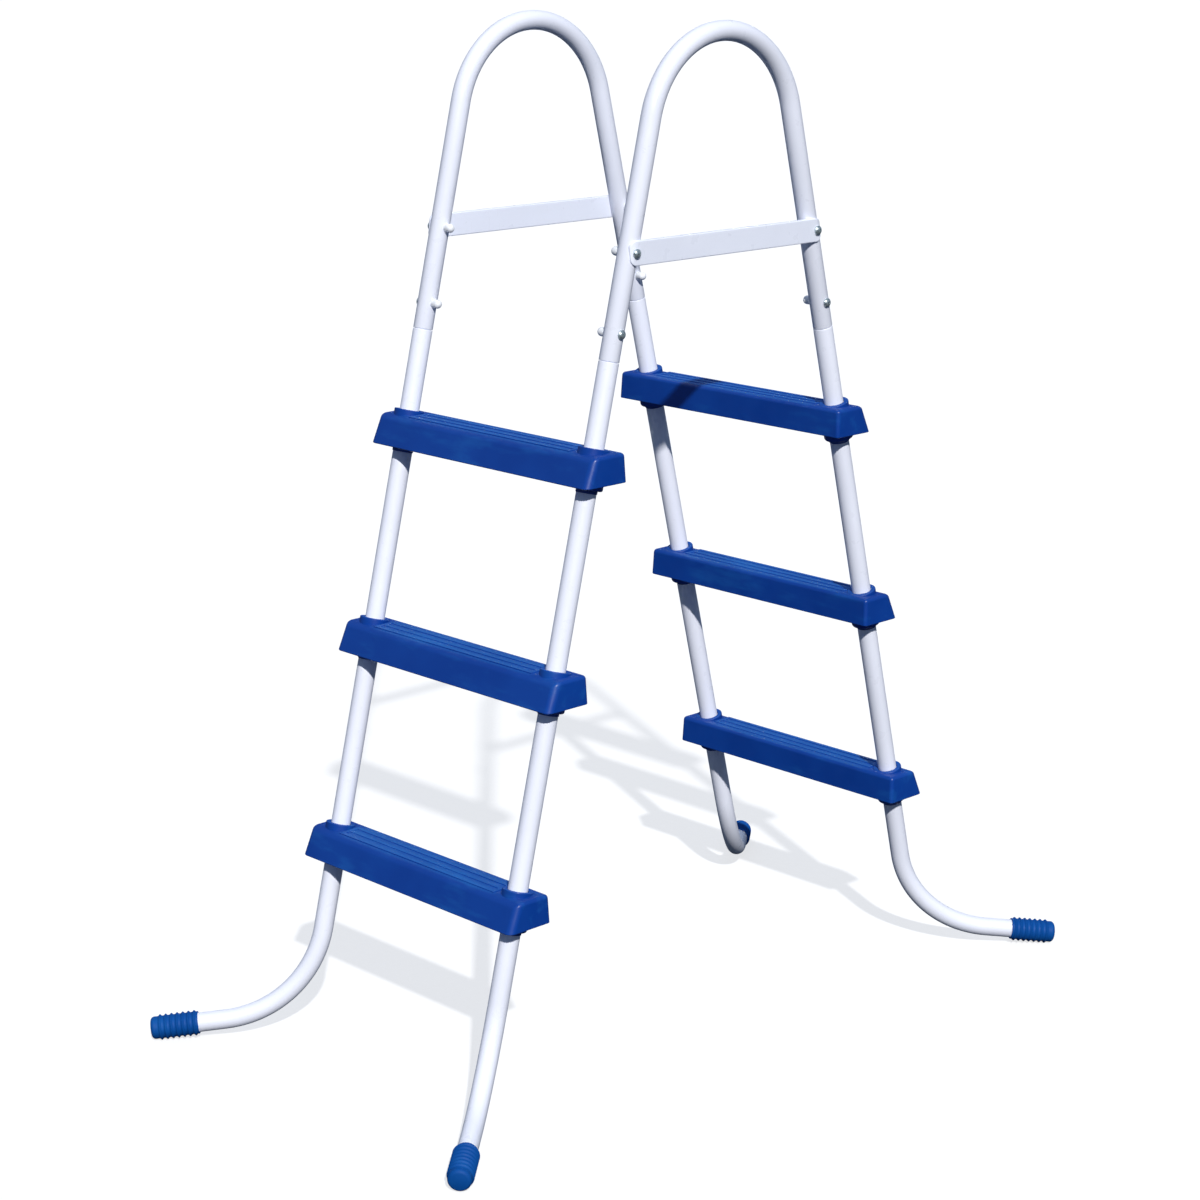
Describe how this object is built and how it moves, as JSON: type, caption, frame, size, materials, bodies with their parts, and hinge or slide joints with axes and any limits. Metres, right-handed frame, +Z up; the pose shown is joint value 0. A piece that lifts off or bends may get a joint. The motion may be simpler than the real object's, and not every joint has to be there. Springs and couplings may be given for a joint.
{
  "type": "above-ground pool ladder",
  "caption": "A-frame above-ground pool ladder with arched tube handrails, flat brace bars, splayed legs in ribbed foot caps, and hollow ribbed treads on both sides.",
  "frame": {"origin": "on the ground, midway between the four feet", "axes": "+Z up; +X along the treads to the right as seen facing the front ladder; +Y across the pool wall, from the front ladder to the back ladder"},
  "size_m": [0.6362, 1.1514, 1.3175],
  "materials": {
    "white_powder_coat": "glossy white powder coat with a faint lavender cast",
    "white_powder_coat_leg": "glossy white powder coat with a faint lavender cast",
    "white_powder_coat_bar": "glossy white powder coat",
    "blue_tread_plastic": "moulded blue plastic, satin, with soft highlights on its rounded edges",
    "blue_foot_plastic": "ribbed soft blue plastic, satin",
    "white_plastic": "glossy white plastic",
    "zinc_steel": "bright zinc-plated steel"
  },
  "bodies": {
    "root": {"left_handrail": "white_powder_coat", "left_brace_bar": "white_powder_coat_bar", "front_left_leg": "white_powder_coat_leg", "front_left_foot_cap": "blue_foot_plastic", "front_left_joint_bolt": "zinc_steel", "front_left_joint_nut": "zinc_steel", "front_left_joint_nut_cap": "white_plastic", "front_left_brace_bolt": "zinc_steel", "front_left_brace_nut": "zinc_steel", "front_left_brace_nut_cap": "white_plastic", "back_left_leg": "white_powder_coat_leg", "back_left_foot_cap": "blue_foot_plastic", "back_left_joint_bolt": "zinc_steel", "back_left_joint_nut": "zinc_steel", "back_left_joint_nut_cap": "white_plastic", "back_left_brace_bolt": "zinc_steel", "back_left_brace_nut": "zinc_steel", "back_left_brace_nut_cap": "white_plastic", "right_handrail": "white_powder_coat", "right_brace_bar": "white_powder_coat_bar", "front_right_leg": "white_powder_coat_leg", "front_right_foot_cap": "blue_foot_plastic", "front_right_joint_bolt": "zinc_steel", "front_right_joint_nut": "zinc_steel", "front_right_joint_nut_cap": "white_plastic", "front_right_brace_bolt": "zinc_steel", "front_right_brace_nut": "zinc_steel", "front_right_brace_nut_cap": "white_plastic", "back_right_leg": "white_powder_coat_leg", "back_right_foot_cap": "blue_foot_plastic", "back_right_joint_bolt": "zinc_steel", "back_right_joint_nut": "zinc_steel", "back_right_joint_nut_cap": "white_plastic", "back_right_brace_bolt": "zinc_steel", "back_right_brace_nut": "zinc_steel", "back_right_brace_nut_cap": "white_plastic", "front_tread_1": "blue_tread_plastic", "front_tread_1_left_screw": "zinc_steel", "front_tread_1_right_screw": "zinc_steel", "front_tread_2": "blue_tread_plastic", "front_tread_2_left_screw": "zinc_steel", "front_tread_2_right_screw": "zinc_steel", "front_tread_3": "blue_tread_plastic", "front_tread_3_left_screw": "zinc_steel", "front_tread_3_right_screw": "zinc_steel", "back_tread_1": "blue_tread_plastic", "back_tread_1_left_screw": "zinc_steel", "back_tread_1_right_screw": "zinc_steel", "back_tread_2": "blue_tread_plastic", "back_tread_2_left_screw": "zinc_steel", "back_tread_2_right_screw": "zinc_steel", "back_tread_3": "blue_tread_plastic", "back_tread_3_left_screw": "zinc_steel", "back_tread_3_right_screw": "zinc_steel"}
  },
  "joints": []
}
